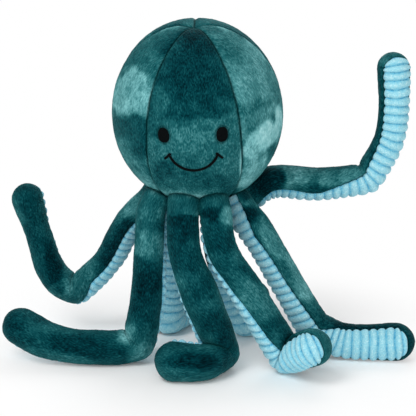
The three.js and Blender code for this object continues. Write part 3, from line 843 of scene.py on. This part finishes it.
# Routes on from the root: across X and Y in reaches, share of the root's height, share of its radius.
# A scratch script worked these out from places picked by hand on the photograph.
# Bellies point the ribbed strip: a place on the route, then its way. The root is place 0.
tentacles = {
    "left_rear": {
        "route": (
            (-0.107, 0.063, 0.804, 0.95), (-0.206, 0.14, 0.49, 0.9), (-0.344, 0.19, 0.23, 0.98),
            (-0.418, 0.2, 0.29, 1.06), (-0.461, 0.205, 0.4, 0.99), (-0.507, 0.205, 0.668, 0.85),
            (-0.547, 0.198, 0.92, 1.05),
        ),
        "bellies": (
            (0, 0.78, -0.24, -0.57), (1.5, 0.78, -0.25, -0.57), (2.5, 0.72, -0.28, -0.62),
            (3.2, 0.1, 0.92, -0.4), (7, 0.2, 0.97, 0.1),
        ),
    },
    "left_front": {
        "route": (
            (-0.012, -0.01, 0.709, 0.97), (-0.024, -0.008, 0.368, 1.07),
            (-0.065, 0.01, 0.018, 1.1), (-0.173, -0.005, 0, 1.11), (-0.314, -0.005, 0, 1.13),
            (-0.456, 0.02, 0.041, 1.19), (-0.557, 0.06, 0.104, 1.21),
        ),
        "bellies": ((0, 0.79, 0.62, 0), (1.8, 0.75, 0.65, -0.1), (3, 0.35, 0.9, -0.3), (7, 0, 0.75, -0.75)),
    },
    "front_left": {
        "route": (
            (0.014, -0.035, 0.736, 1.01), (0.074, -0.045, 0.449, 1.22),
            (0.165, 0.03, 0, 1.11), (0.075, -0.088, 0, 1.17), (-0.029, -0.09, 0, 1.27),
        ),
        "bellies": (
            (0, 0, 1, 0), (2, -0.5, 0.85, 0), (2.7, -0.8, 0.6, 0), (3, -0.5, 0.85, 0), (5, -0.35, 0.9, 0.25),
        ),
    },
    "front_right": {
        "route": (
            (0.018, -0.035, 0.792, 0.97), (0.141, -0.045, 0.446, 1.06),
            (0.289, -0.01, 0, 1.11), (0.386, -0.148, 0.14, 1.18),
        ),
        "bellies": (
            (0, -0.3, 0.95, 0), (1, -0.7, 0.65, -0.1), (2, -0.85, 0.12, -0.5), (2.6, -0.78, -0.18, -0.58),
            (3, -0.52, -0.6, -0.6), (4, -0.43, -0.85, 0.08),
        ),
        "tipReach": 22 * mm,
    },
    "right_front": {
        "route": (
            (0.089, -0.004, 0.798, 1.03), (0.199, 0.021, 0.454, 1),
            (0.311, 0.05, 0.114, 1.09), (0.417, 0.055, 0.018, 1.11), (0.533, 0.046, 0, 1.15),
            (0.655, 0.037, 0, 1.2),
        ),
        "bellies": (
            (0, -0.75, -0.66, -0.1), (0.8, -0.84, -0.22, -0.43), (3, -0.43, -0.69, -0.57),
            (3.7, -0.15, -0.95, -0.1), (6, 0, -0.98, 0.12),
        ),
    },
    "right_rear": {
        "route": (
            (0.112, 0.032, 1.11, 1.02), (0.313, 0.062, 1.084, 1.03),
            (0.522, 0.082, 1.112, 0.95), (0.606, 0.082, 1.399, 0.96),
            (0.621, 0.082, 1.648, 0.98), (0.616, 0.082, 1.897, 1.04),
        ),
        "bellies": (
            (0, 0, 0.15, -0.99), (2, 0.1, 0, -0.99), (2.7, 0.3, -0.6, -0.7), (3, 0.35, -0.85, -0.4),
            (4, 0.3, -0.95, -0.1), (6, 0.3, -0.95, 0),
        ),
        "bendFolds": 0.3,
        "tipReach": 14 * mm,
        "stripStart": 17 * mm,
    },
    "rear_left": {
        "bend": 2,
        "route": (
            (-0.027, 0.045, 0.496, 1.01), (-0.049, 0.09, 0, 1.09),
            (0.018, 0.22, 0, 1.11), (0.048, 0.36, 0, 1.16),
        ),
        "bellies": ((0, 0.1, -1, 0), (2, 0.5, -0.75, -0.45), (4, 0.5, 0, -0.85)),
    },
    "rear_right": {
        "bend": 2,
        "route": (
            (0.027, 0.039, 0.488, 1.01), (0.134, 0.069, 0, 1.1),
            (0.16, 0.239, 0, 1.11), (0.173, 0.389, 0, 1.16),
        ),
        "bellies": ((0, 0.1, -1, 0), (2, 0, -0.8, -0.6), (4, 0, 0, -1)),
    },
}


def routeCurve(places, shares):  # a smooth line through places, eased by the root of their distance
    count = len(places) - 1
    before = 2 * places[0] - places[1]
    after = 2 * places[-1] - places[-2]
    knots = [before, *places, after]
    points = []
    for share in shares:
        n = min(int(share * count), count - 1)
        t = share * count - n
        p0, p1, p2, p3 = knots[n : n + 4]
        d0, d1, d2 = (max(np.linalg.norm(b - a) ** 0.5, 1e-6) for a, b in ((p0, p1), (p1, p2), (p2, p3)))
        m1 = ((p1 - p0) / d0 - (p2 - p0) / (d0 + d1) + (p2 - p1) / d1) * d1
        m2 = ((p2 - p1) / d1 - (p3 - p1) / (d1 + d2) + (p3 - p2) / d2) * d1
        a, b = 2 * (p1 - p2) + m1 + m2, 3 * (p2 - p1) - 2 * m1 - m2
        points.append(((a * t + b) * t + m1) * t + p1)
    return np.array(points)


def own(laid, key):  # a tentacle's own value, or the one for all
    return tentacles[laid["name"]].get(key, limb[key])


def layTentacle(name):  # the middle line, girth and strip direction, every half millimetre
    facts = tentacles[name]
    pivot = np.array(joints[f"tentacle_{name}_lift"]["pos_m"])
    shares = np.array([(0, 0, 1, 1), *facts["route"]])
    radii = limb["rootRadius"] * shares[:, 3]
    lowest = radii - limb["floorCut"]
    places = np.stack([
        pivot[0] + shares[:, 0] * limb["reach"],
        pivot[1] + shares[:, 1] * limb["reach"],
        lowest + (pivot[2] - lowest) * shares[:, 2],
    ], -1)
    bellies = np.array(facts["bellies"], float)
    bend, last = facts.get("bend", limb["bend"]), len(places) - 1
    # the neck leads from the first pivot to the head's cloth
    inward = -unit(toHead(pivot) / headHalf**2) @ headAxes.T
    neck = np.linspace(limb["rootRadius"] + limb["neckStart"], 0, limb["neckPoints"])[:-1]
    share = np.linspace(0, 1, limb["routePoints"])
    spots = np.concatenate([0 * neck, share * bend, bend + share[1:] * (last - bend)])
    centre = np.concatenate([
        pivot + inward * neck[:, None],
        routeCurve(places[: bend + 1], share),
        routeCurve(places[bend:], share[1:]),
    ])
    radius = np.interp(spots, np.arange(len(radii)), radii)
    belly = between(spots, bellies[:, 0], bellies[:, 1:])
    far = lengthAlong(centre)
    step = limb["lineStep"]
    s = np.arange(0, far[-1], step)
    line = between(s, far, centre)
    radius = np.interp(s, far, radius)
    belly = between(s, far, belly)
    bendAt = float(np.interp(0.5, spots > bend, far))
    pivotAt = float(neck[0])
    lineEase, aheadEase = zip(limb["bendEase"], limb["rootEase"])
    line = soften(line, s, zip((bendAt, pivotAt), lineEase), step)
    ahead = unit(np.gradient(line, axis=0))
    ahead = unit(soften(ahead, s, zip((bendAt, pivotAt), aheadEase), step))
    belly = unit(belly - np.sum(belly * ahead, -1, keepdims=True) * ahead)
    at = np.searchsorted(s, bendAt)
    reach = int(limb["bendReach"] / step)
    before = unit(line[at] - line[at - reach])
    after = unit(line[min(at + reach, len(line) - 1)] - line[at])
    return {
        "name": name, "number": list(tentacles).index(name), "s": s, "length": s[-1], "pivot": pivot,
        "line": line, "radius": radius, "ahead": ahead, "belly": belly, "side": np.cross(ahead, belly),
        "pivotAt": pivotAt, "bendAt": bendAt, "bendPoint": line[at], "before": before, "after": after,
        "crease": unit(before + after), "fold": after - before, "inward": inward,
    }


def soften(values, s, places, step):  # averages along the line near some places
    result = values.copy()
    for place, width in places:
        reach = int(4 * width / step)
        kernel = np.exp(-0.5 * (np.arange(-reach, reach + 1) * step / width) ** 2)
        kernel /= kernel.sum()
        before = 2 * values[:1] - values[1 : reach + 1][::-1]
        after = 2 * values[-1:] - values[-reach - 1 : -1][::-1]
        padded = np.concatenate([before, values, after])
        blurred = np.stack([np.convolve(column, kernel, "valid") for column in padded.T], -1)
        near = np.exp(-(((s - place) / (3.2 * width)) ** 4))[:, None]
        result = result * (1 - near) + blurred * near
    return result


def radiusAt(laid, s):
    return np.interp(s, laid["s"], laid["radius"])


def valuesAt(laid, s, key):
    return between(s, laid["s"], laid[key])


def tubePoints(laid, s, angle, stand, onBelt=False):
    # s: along the tentacle, past its length round the tip; angle: from the strip's middle
    # onBelt: past the length, s and angle go on along and across the strip
    ahead = unit(valuesAt(laid, s, "ahead"))
    belly, side = valuesAt(laid, s, "belly"), valuesAt(laid, s, "side")
    radius = radiusAt(laid, s)
    over = np.maximum((s - laid["length"]) / radius, 0)[..., None]
    cosine, sine = np.cos(angle)[..., None], np.sin(angle)[..., None]
    if onBelt:
        way = (belly * np.cos(over) + ahead * np.sin(over)) * cosine - side * sine
    else:
        way = (belly * cosine - side * sine) * np.cos(over) + ahead * np.sin(over)
    points = valuesAt(laid, s, "line") + way * (radius + stand)[..., None]
    points = foldAtBend(laid, s, points)
    points = clearOfHead(points, limb["offHead"])
    points[..., 2] = np.maximum(points[..., 2], limb["offFloor"])
    return points


def foldAtBend(laid, s, points):  # the two sides of a bend press against each other without crossing
    give = limb["creaseGive"]
    beyond = (points - laid["bendPoint"]) @ laid["crease"]
    side = np.where(s < laid["bendAt"], -1.0, 1.0)
    clear = beyond * side - limb["creaseGap"]
    soft = give * np.logaddexp(0, clear / give)
    near = np.abs(s - laid["bendAt"]) < limb["creaseReach"]
    moved = np.where(near, (soft - clear) * side, 0)
    return points + laid["crease"] * moved[..., None]


def beltPlace(laid, s, angle):  # along and across the strip, also for a place on the round tip
    radius = radiusAt(laid, s)
    over = np.clip((s - laid["length"]) / radius, 0, math.pi / 2)
    along = np.arctan2(np.sin(over), np.cos(over) * np.cos(angle))
    aside = np.arcsin(np.clip(np.cos(over) * np.sin(angle), -1, 1))
    onTip = s > laid["length"]
    return np.where(onTip, laid["length"] + along * radius, s), np.where(onTip, aside, angle)


def stripEnd(laid):
    return laid["length"] + own(laid, "tipReach")


def stripDistance(laid, s, angle):  # distance outside the strip's edge, negative inside it
    radius = radiusAt(laid, s)
    corner = limb["stripCorner"]
    dx = np.abs(angle) * radius - (np.radians(limb["stripHalf"]) * radius - corner)
    dy = np.maximum(s - stripEnd(laid), own(laid, "stripStart") - s) + corner
    outside = np.hypot(np.maximum(dx, 0), np.maximum(dy, 0))
    return outside + np.minimum(np.maximum(dx, dy), 0) - corner


def wrinkles(laid, s, angle, points):
    seed = 200 + 7 * laid["number"]
    away = (s - laid["bendAt"]) / mm
    at = int(laid["bendAt"] / limb["lineStep"])
    fold = unit(laid["fold"])
    turnIn = math.atan2(-fold @ laid["side"][at], fold @ laid["belly"][at])
    inner = 0.5 + 0.5 * np.cos(angle - turnIn)
    straySize, stray = limb["foldStray"]
    wave = np.sin(away / limb["foldPitch"] + stray * cloud(points, straySize, seed))
    swell, sharpness = limb["foldShape"]
    folds = (swell - (1 - np.abs(wave)) ** sharpness) * bell(away, limb["foldReach"])
    sharp = min(1.0, float(np.linalg.norm(laid["fold"]))) * own(laid, "bendFolds")
    lumps = crushed(points, limb["lumps"], seed + 1) + crushed(points, pileDents, seed + 3)
    return lumps + limb["foldDepth"] * sharp * folds * inner**1.5


def makeSleeve(laid):
    length = laid["length"]
    radius = laid["radius"][-1]
    tip = length + np.linspace(0, limb["tipEnd"], limb["tipRows"]) * radius * math.pi / 2
    s = np.concatenate([np.arange(0, length, limb["step"]), tip])
    angle = fullTurn(limb["columns"])
    s, angle = np.meshgrid(s, angle, indexing="ij")
    signed = np.where(angle > math.pi, angle - 2 * math.pi, angle)
    edge = stripDistance(laid, *beltPlace(laid, s, signed))
    tuck, start, end = limb["hemTuck"]
    roll = limb["seamDip"] * (1 - smooth(*limb["seamRoll"], edge)) ** 1.5 + tuck * smooth(start, end, edge)
    rough = tubePoints(laid, s, angle, 0 * s)
    points = tubePoints(laid, s, angle, wrinkles(laid, s, angle, rough) - roll)
    normals = gridNormals(points, points - valuesAt(laid, s, "line"))
    keep = edge > -limb["hem"]
    keep = keep[:-1, :-1] | keep[1:, :-1] | keep[:-1, 1:] | keep[1:, 1:]
    # painted shade along the strip's seam and painted shadow where the tentacle meets the head
    (stripWidth, stripShare), (rootWidth, rootShare) = limb["stripSeamShade"], limb["rootShadow"]
    stripSeamShade = bell(np.maximum(edge, 0), stripWidth) * stripShare
    rootShadow = bell(offHead(points)[0][..., 0], rootWidth) * rootShare
    spots = napAndPaintedLightSpots.get(laid["name"], [])
    marks = {
        "nap": laidNapAndPaintedLight(points, normals, spots, 90 + 5 * laid["number"]),
        "seam": np.maximum(stripSeamShade, rootShadow),
    }
    sewHalves(laid, s, ("sleeve", "velour"), points, normals, marks, angle * radius, keep)


def sewHalves(laid, s, kind, points, normals, marks, across, keep=None):  # a root's piece and a limb's
    splitAt = laid["pivotAt"] + limb["split"] * (laid["bendAt"] - laid["pivotAt"])
    cut = int(np.searchsorted(s[:, 0], splitAt))
    uv = np.stack([across, s], -1)
    ends = jointEnds(laid)
    for label, rows, faces in (
        ("root", slice(0, cut + 1), slice(0, cut)), ("limb", slice(cut, None), slice(cut, None)),
    ):
        part = {key: value[rows] for key, value in marks.items()}
        name = f"{kind[0]}_{laid['name']}_{label}"
        kept = None if keep is None else keep[faces]
        piece = gridPiece(name, points[rows], normals[rows], part, uv[rows], kept)
        finishLimb(piece, laid["name"], label, ends, kind[1])


def jointEnds(laid):
    bend = np.array(joints[f"tentacle_{laid['name']}_curl"]["pos_m"])
    above, below = limb["rootBlend"]
    at = int((laid["pivotAt"] + below) / limb["lineStep"])
    reach = limb["bendBlend"]
    return {
        "root": (laid["pivot"] + laid["inward"] * above, laid["line"][at]),
        "limb": (bend - laid["before"] * reach, bend + laid["after"] * reach),
    }


def finishLimb(piece, name, label, ends, cloth):
    upper, lower = f"tentacle_{name}_upper", f"tentacle_{name}_lower"
    bodies = ("head", upper) if label == "root" else (upper, lower)
    nodes = []
    if label == "limb":
        nodes = [f"{upper}_{cloth}", f"{lower}_{cloth}"]
        if cloth == "velour":
            nodes += [f"{upper}_filling", f"{lower}_filling"]
    dress(piece, cloth, bodies, nodes, ends[label])


def makeRibs(laid):
    start, end = own(laid, "stripStart"), stripEnd(laid)
    s = np.arange(max(0, start), end, limb["ribStep"])
    s = np.concatenate([s, [end - 0.02 * mm, end - 0.01 * mm]])
    share = np.concatenate([[-1, -1], np.linspace(-1, 1, limb["ribColumns"]), [1, 1]])
    hemIn = np.zeros(len(share))
    hemIn[[0, 1, -2, -1]] = limb["hem"], limb["ribHem"], limb["ribHem"], limb["hem"]
    s, share = np.meshgrid(s, share, indexing="ij")
    radius = radiusAt(laid, s)
    half = np.radians(limb["stripHalf"]) * radius
    corner = limb["stripCorner"]
    past = np.clip(np.maximum(s - end, start - s) + corner, 0, corner)
    wide = half - corner + np.sqrt(np.maximum(0, corner**2 - past**2))
    angle = share * wide / radius
    edge = -stripDistance(laid, s, angle)
    seed = 400 + 5 * laid["number"]
    swaySize, sway = limb["ribSway"]
    sway = sway * cloud(tubePoints(laid, s, angle, 0 * s, True), swaySize, seed)
    phase = (s + sway) / limb["ribPitch"]
    within = 2 * (phase % 1) - 1
    bulge = np.sqrt(np.maximum(0, 1 - within**2))
    fullSize, full = limb["ribFullness"]
    each, broad = limb["ribPlace"]
    place = np.stack([np.floor(phase) * each, share * broad, s * 0], -1)
    fullness = 1 + full * cloud(place, fullSize, seed + 1)
    ends = np.sqrt(1 - (1 - np.clip(edge / limb["ribEnd"], 0, 1)) ** 2)
    stand = limb["ribStand"] - limb["ribHeight"] * (1 - bulge * fullness)
    stand = stand * ends - limb["seamDip"] * limb["ribTuck"] * (1 - ends) - hemIn[None, :]
    angle = angle + share * limb["ribReach"] * (bulge - limb["ribLean"]) / radius
    rough = tubePoints(laid, s, angle, stand, True)
    stand = stand + crushed(rough, limb["ribDents"], seed + 2) * ends
    stand[-1] -= limb["hem"]
    points = tubePoints(laid, s, angle, stand, True)
    normals = gridNormals(points, points - valuesAt(laid, s, "line"))
    below = np.maximum(s - laid["pivotAt"], 0) / limb["rootShadeReach"]
    marks = {
        # the ribs' own blue, with a painted highlight on the crests and painted shade in the grooves and at
        # the rib ends
        "crest": bulge * (limb["crestEdge"] + (1 - limb["crestEdge"]) * ends),
        # painted shade on the ribs under the head
        "deep": limb["rootShadeShare"] * np.exp(-below),
    }
    sewHalves(laid, s, ("ribs", "ribbed"), points, normals, marks, angle * radius)


def makeTentacles():
    for name in tentacles:
        laid = layTentacle(name)
        makeSleeve(laid)
        makeRibs(laid)
        print("tentacle", name, "is", round(laid["length"] / mm), "mm long")


studio = {
    "floorHalf": 3.0,
    "floor": shade("ffffff"),
    "fade": (0.08, 0.26),  # how far from the middle the paper turns white
    "ambient": 0.5,
    "key": {"place": (-0.55, -0.75, 1.15), "size": 0.7, "power": 8.0},
    "fill": {"place": (0.15, -1.35, 0.4), "size": 0.9, "power": 8.0},
    "rim": {"place": (0.2, 0.8, 0.95), "size": 0.8, "power": 4.0},
}


def addLamp(name, place, size, power):
    data = bpy.data.lights.new(name, "AREA")
    data.shape = "DISK"
    data.size = size
    data.energy = power
    lamp = addObject(name, data)
    lamp.location = place
    aim = Vector(view["target"]) - Vector(place)
    lamp.rotation_euler = aim.to_track_quat("-Z", "Y").to_euler()


def makeFloorFinish():  # paper that turns plain white to the eye away from the octopus
    material, wire = startFinish("floor")
    place = wire.add("ShaderNodeTexCoord", {}, {}, "Object")
    far = wire.add("ShaderNodeVectorMath", {"operation": "LENGTH"}, {0: place}, "Value")
    near, gone = studio["fade"]
    share = wire.add("ShaderNodeMapRange", {"interpolation_type": "SMOOTHSTEP"}, {0: far, 1: near, 2: gone})
    paper = wire.add("ShaderNodeBsdfDiffuse", {}, {"Color": studio["floor"]})
    white = wire.add("ShaderNodeEmission", {}, {"Color": (1, 1, 1, 1), "Strength": 1.0})
    surface = wire.add("ShaderNodeMixShader", {}, {0: share * seenDirectly(wire), 1: paper, 2: white})
    wire.add("ShaderNodeOutputMaterial", {}, {"Surface": surface})
    return material


def seenDirectly(wire):  # 1 for the camera and for what shows in or through a shiny surface
    seen, glossy, through = (
        wire.add("ShaderNodeLightPath", {}, {}, kind)
        for kind in ("Is Camera Ray", "Is Glossy Ray", "Is Transmission Ray")
    )
    return wire.sum("MINIMUM", seen + glossy + through, 1.0)


def addStudio():
    for name in ("key", "fill", "rim"):
        addLamp(name, **studio[name])
    world = bpy.data.worlds.new("studio")
    bpy.context.scene.world = world
    wire = startNodes(world)
    strength = seenDirectly(wire) * (1 - studio["ambient"]) + studio["ambient"]
    light = wire.add("ShaderNodeBackground", {}, {"Color": (1, 1, 1, 1), "Strength": strength})
    wire.add("ShaderNodeOutputWorld", {}, {"Surface": light})
    side = studio["floorHalf"]
    corners = [(-side, -side, 0), (side, -side, 0), (side, side, 0), (-side, side, 0)]
    mesh = bpy.data.meshes.new("floor")
    mesh.from_pydata(corners, [], [(0, 1, 2, 3)])
    mesh.materials.append(makeFloorFinish())
    addObject("floor", mesh)


addCamera()
print("camera placed")
addStudio()
print("studio lit")
makeHead()
print("head sewn")
makeTentacles()
print("tentacles sewn")

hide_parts("head_filling")  # the filling lies behind the gores

bpy.context.scene.view_settings.view_transform = "Standard"

import json
